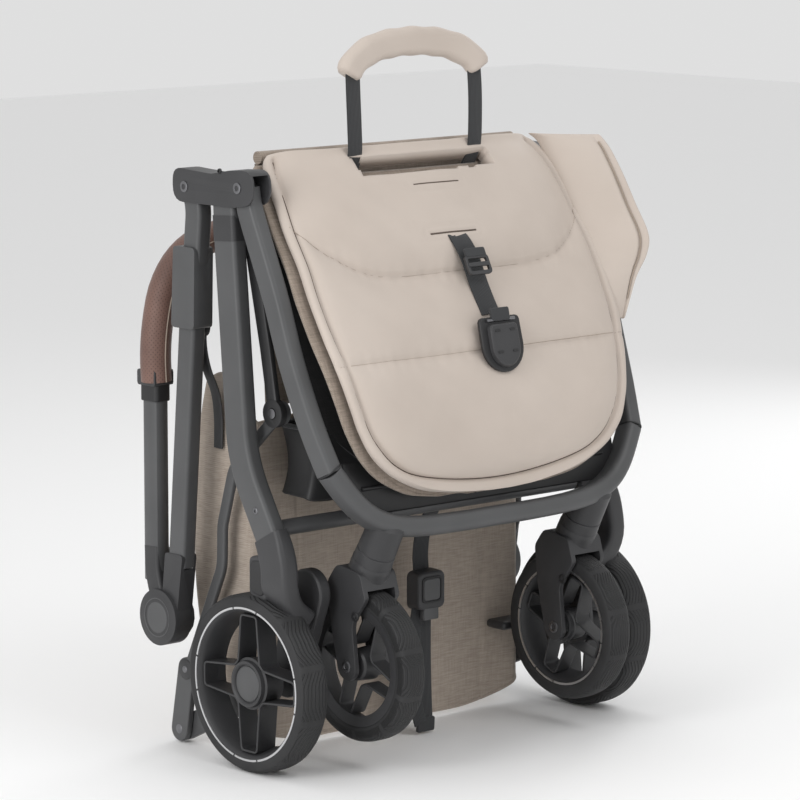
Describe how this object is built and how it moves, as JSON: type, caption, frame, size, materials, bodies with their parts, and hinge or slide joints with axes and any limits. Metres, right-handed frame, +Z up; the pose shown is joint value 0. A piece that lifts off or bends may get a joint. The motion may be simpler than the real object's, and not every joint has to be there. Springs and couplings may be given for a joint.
{
  "type": "baby stroller",
  "caption": "Compact folding baby stroller, shown folded and standing: tubular frame with hinged handle, padded seat, carry strap, rear wheels and swivelling front wheels",
  "frame": {"origin": "on the floor, at the centre of the folded stroller's outline", "axes": "+Z up, +X across the stroller, -Y towards the seat cushion"},
  "size_m": [0.483, 0.3108, 0.7215],
  "materials": {
    "frame_grey": "matt charcoal powder coat",
    "plastic_dark": "fine grain",
    "rubber_tyre": "matt, fine ribs on the sidewall",
    "pad_leather": "soft beige leather look, quilted",
    "woven_taupe": "woven melange",
    "webbing_black": "ribbed webbing",
    "fabric_black": "plain black cloth",
    "grip_brown": "perforated brown leather",
    "rivet_steel": "dull steel"
  },
  "bodies": {
    "rear_frame": {"rear_crossbar": "frame_grey", "recline_clamp": "plastic_dark", "recline_webbing": "webbing_black", "brake_pedal": "plastic_dark", "hub_bracket_left": "frame_grey", "hub_bracket_right": "frame_grey", "rear_leg_left": "frame_grey", "rear_leg_right": "frame_grey", "rear_housing_left": "plastic_dark", "rear_housing_right": "plastic_dark", "basket": "fabric_black"},
    "front_frame": {"u_bar": "frame_grey", "footrest_plate": "plastic_dark", "seat_wing_right": "pad_leather", "front_leg_left": "frame_grey", "front_leg_right": "frame_grey", "caster_socket_left": "plastic_dark", "caster_socket_right": "plastic_dark", "seat_pivot_pin_left": "rivet_steel", "seat_pivot_pin_right": "rivet_steel"},
    "canopy": {"canopy": "woven_taupe"},
    "push_frame": {"push_tube_left": "frame_grey", "push_tube_right": "frame_grey", "knob_left": "plastic_dark", "knob_right": "plastic_dark", "clip_cover_left": "plastic_dark", "clip_cover_right": "plastic_dark"},
    "handle": {"handle_grip": "grip_brown", "handle_tube_left": "frame_grey", "handle_tube_right": "frame_grey", "grip_collar_left": "plastic_dark", "grip_collar_right": "plastic_dark"},
    "fold_button": {"fold_button": "plastic_dark"},
    "seat": {"seat_pad": "pad_leather", "seat_base": "woven_taupe", "seat_rail_left": "plastic_dark", "seat_rail_right": "plastic_dark", "crotch_strap": "webbing_black", "strap_slider": "plastic_dark", "buckle": "plastic_dark"},
    "seat_back": {"seat_back": "woven_taupe"},
    "carry_handle": {"carry_webbing_left": "webbing_black", "carry_webbing_right": "webbing_black", "carry_sleeve": "pad_leather"},
    "clamp_tab": {"clamp_tab": "plastic_dark"},
    "rear_wheel_left": {"rear_left_tyre": "rubber_tyre", "rear_left_rim": "plastic_dark"},
    "caster_left": {"caster_fork_left": "plastic_dark"},
    "front_wheel_left": {"front_left_tyre": "rubber_tyre", "front_left_rim": "plastic_dark"},
    "link_left": {"brace_link_left": "plastic_dark"},
    "brace_left": {"brace_rod_left": "frame_grey"},
    "rear_wheel_right": {"rear_right_tyre": "rubber_tyre", "rear_right_rim": "plastic_dark"},
    "caster_right": {"caster_fork_right": "plastic_dark"},
    "front_wheel_right": {"front_right_tyre": "rubber_tyre", "front_right_rim": "plastic_dark"},
    "link_right": {"brace_link_right": "plastic_dark"},
    "brace_right": {"brace_rod_right": "frame_grey"}
  },
  "joints": [
    {"name": "fold", "type": "hinge", "parent": "rear_frame", "child": "front_frame", "pos_m": [0, -0.0016, 0.5756], "axis": [1, 0, 0], "range_deg": [-68, 0]},
    {"name": "push_fold", "type": "hinge", "parent": "rear_frame", "child": "push_frame", "pos_m": [0, 0.0789, 0.5715], "axis": [1, 0, 0], "range_deg": [0, 102]},
    {"name": "handle_fold", "type": "hinge", "parent": "push_frame", "child": "handle", "pos_m": [0, 0.1233, 0.135], "axis": [1, 0, 0], "range_deg": [-180, 0]},
    {"name": "seat_fold", "type": "hinge", "parent": "front_frame", "child": "seat", "pos_m": [0, -0.0257, 0.356], "axis": [1, 0, 0], "range_deg": [-42, 0]},
    {"name": "seat_back_fold", "type": "hinge", "parent": "seat", "child": "seat_back", "pos_m": [0, 0.0463, 0.597], "axis": [1, 0, 0], "range_deg": [0, 212]},
    {"name": "fold_button_press", "type": "slide", "parent": "handle", "child": "fold_button", "axis": [0, -1, 0], "range_m": [0, 0.0015], "stiffness_N_per_m": 400},
    {"name": "carry_flop", "type": "hinge", "parent": "seat", "child": "carry_handle", "pos_m": [0, 0.0003, 0.59], "axis": [1, 0, 0], "range_deg": [0, 34]},
    {"name": "canopy_fold", "type": "hinge", "parent": "push_frame", "child": "canopy", "pos_m": [0, 0.0833, 0.43], "axis": [1, 0, 0], "range_deg": [0, 102]},
    {"name": "clamp_tab_pinch", "type": "hinge", "parent": "rear_frame", "child": "clamp_tab", "pos_m": [0, -0.0191, 0.138], "axis": [1, 0, 0], "range_deg": [0, 6], "stiffness_Nm_per_rad": 0.5},
    {"name": "rear_wheel_left_spin", "type": "hinge", "parent": "rear_frame", "child": "rear_wheel_left", "pos_m": [-0.224, -0.0137, 0.089], "axis": [1, 0, 0], "continuous": true},
    {"name": "caster_left_swivel", "type": "hinge", "parent": "front_frame", "child": "caster_left", "pos_m": [-0.1418, -0.1069, 0.2399], "axis": [0, -0.4806, 0.8769], "range_deg": [-20, 20]},
    {"name": "front_wheel_left_spin", "type": "hinge", "parent": "caster_left", "child": "front_wheel_left", "pos_m": [-0.1418, -0.0784, 0.1062], "axis": [1, 0, 0], "continuous": true},
    {"name": "link_left_fold", "type": "hinge", "parent": "rear_frame", "child": "link_left", "pos_m": [-0.1945, 0.0063, 0.072], "axis": [1, 0, 0], "range_deg": [0, 114.8]},
    {"name": "brace_left_fold", "type": "hinge", "parent": "link_left", "child": "brace_left", "pos_m": [-0.2026, 0.1313, 0.014], "axis": [1, 0, 0], "range_deg": [-103.7, 0]},
    {"name": "rear_wheel_right_spin", "type": "hinge", "parent": "rear_frame", "child": "rear_wheel_right", "pos_m": [0.224, -0.0137, 0.089], "axis": [1, 0, 0], "continuous": true},
    {"name": "caster_right_swivel", "type": "hinge", "parent": "front_frame", "child": "caster_right", "pos_m": [0.1418, -0.1069, 0.2399], "axis": [0, -0.4806, 0.8769], "range_deg": [-20, 20]},
    {"name": "front_wheel_right_spin", "type": "hinge", "parent": "caster_right", "child": "front_wheel_right", "pos_m": [0.1418, -0.0784, 0.1062], "axis": [1, 0, 0], "continuous": true},
    {"name": "link_right_fold", "type": "hinge", "parent": "rear_frame", "child": "link_right", "pos_m": [0.1945, 0.0063, 0.072], "axis": [1, 0, 0], "range_deg": [0, 114.8]},
    {"name": "brace_right_fold", "type": "hinge", "parent": "link_right", "child": "brace_right", "pos_m": [0.2026, 0.1313, 0.014], "axis": [1, 0, 0], "range_deg": [-103.7, 0]}
  ],
  "couplings": [
    {"joint": "carry_flop", "follows": "fold", "ratio": -0.5},
    {"joint": "canopy_fold", "follows": "fold", "ratio": -1.5},
    {"joint": "push_fold", "follows": "fold", "ratio": -1.5},
    {"joint": "handle_fold", "follows": "fold", "ratio": 2.6471},
    {"joint": "seat_fold", "follows": "fold", "ratio": 0.61765},
    {"joint": "seat_back_fold", "follows": "fold", "ratio": -3.1176},
    {"joint": "link_left_fold", "follows": "fold", "ratio": -1.6882},
    {"joint": "brace_left_fold", "follows": "fold", "ratio": 1.525},
    {"joint": "link_right_fold", "follows": "fold", "ratio": -1.6882},
    {"joint": "brace_right_fold", "follows": "fold", "ratio": 1.525}
  ]
}
